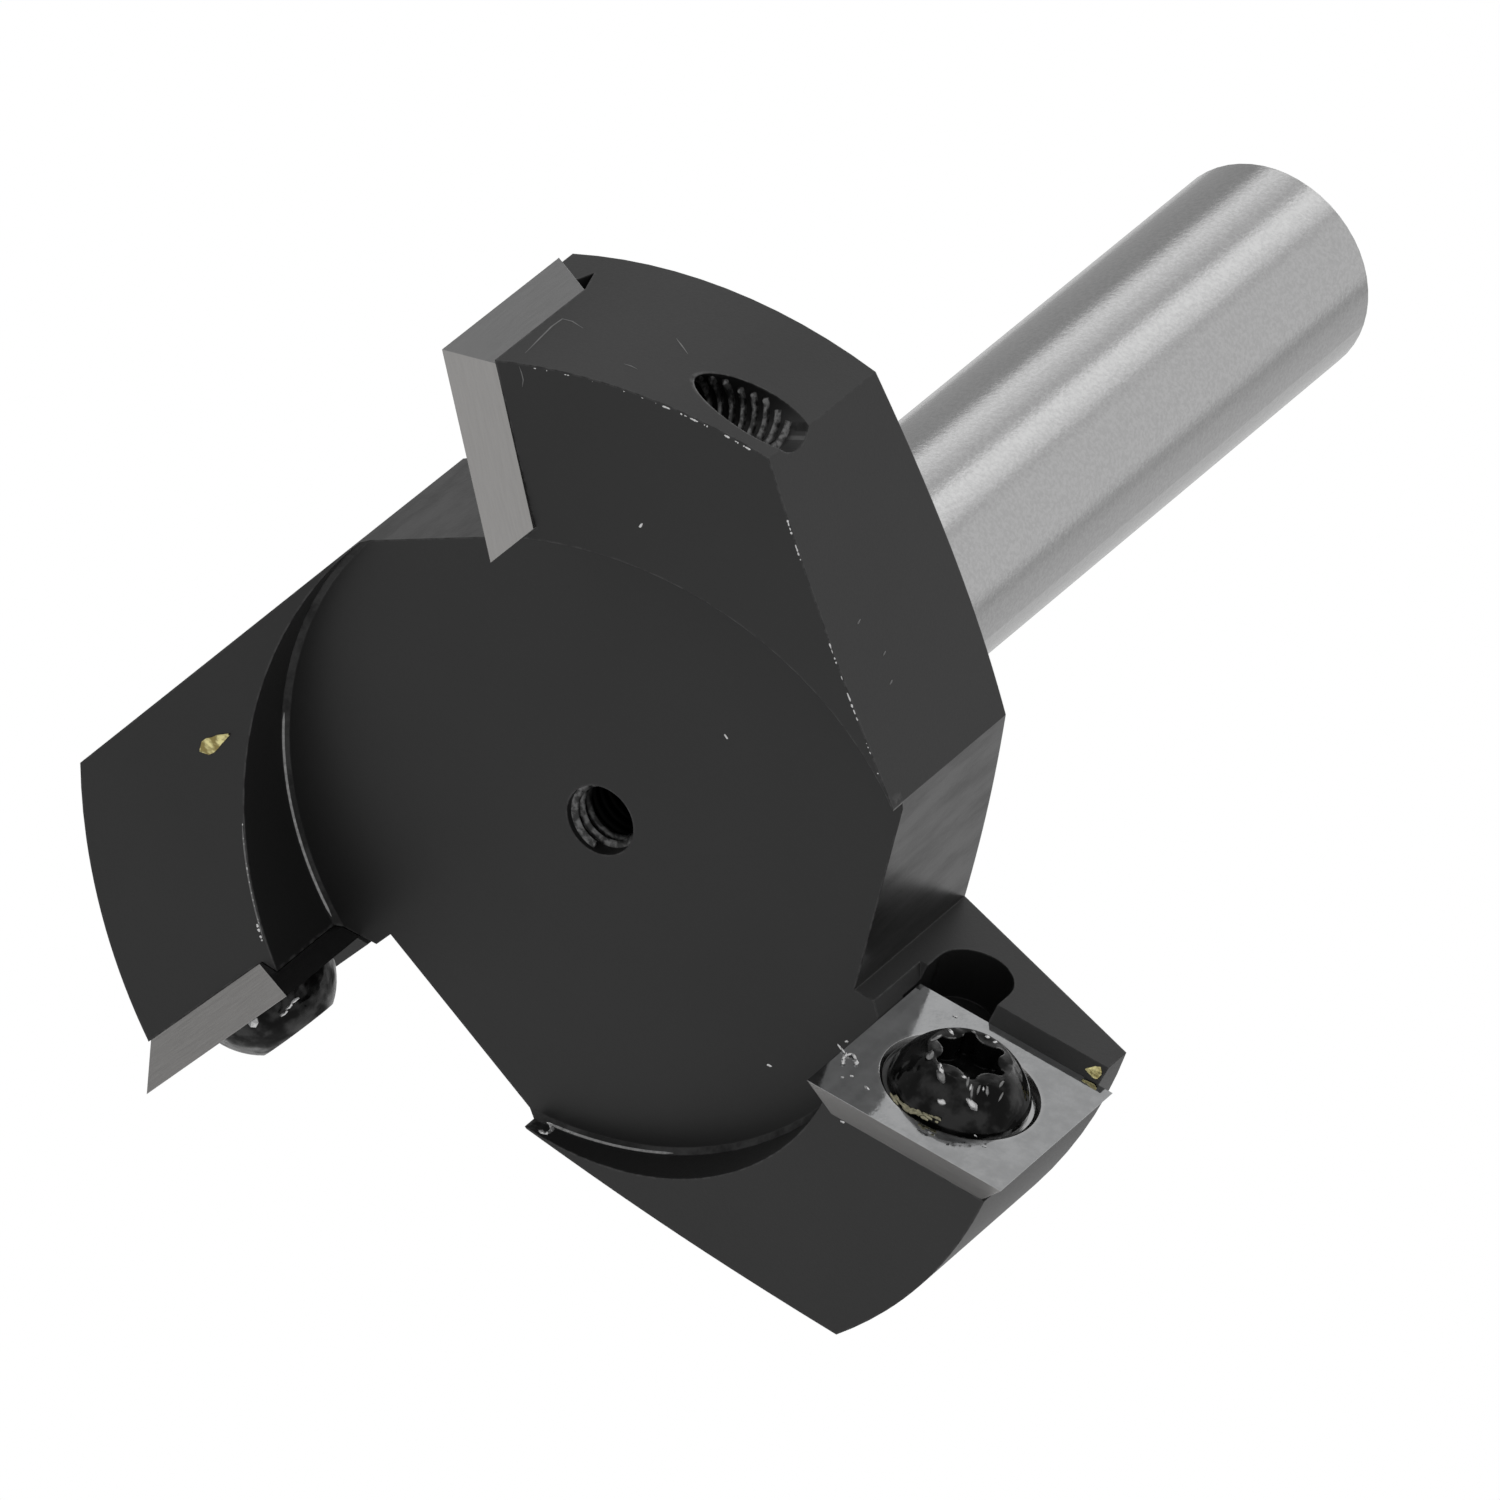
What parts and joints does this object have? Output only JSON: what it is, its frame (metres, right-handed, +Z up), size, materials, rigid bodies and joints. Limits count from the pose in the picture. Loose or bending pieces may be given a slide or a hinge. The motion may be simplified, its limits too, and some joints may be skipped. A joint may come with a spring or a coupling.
{
  "type": "surfacing router bit",
  "caption": "Surfacing router bit: a black steel head with square carbide inserts screwed to its wings, on a plain ground shank.",
  "frame": {"origin": "on the axis of rotation, in the plane swept by the lower cutting edges", "axes": "+Z up the shank; +X along wing 1, whose insert faces -Y, so the bit cuts clockwise seen from the shank"},
  "size_m": [0.0575, 0.0543, 0.081],
  "materials": {
    "body_steel": "black oxide on the head, ground bright on the shank",
    "carbide": "ground and polished cemented carbide",
    "screw_steel": "glossy black oxide"
  },
  "bodies": {
    "root": {"cutter_body": "body_steel", "insert_1": "carbide", "insert_2": "carbide", "insert_3": "carbide", "insert_screw_1": "screw_steel", "insert_screw_2": "screw_steel", "insert_screw_3": "screw_steel"}
  },
  "joints": []
}
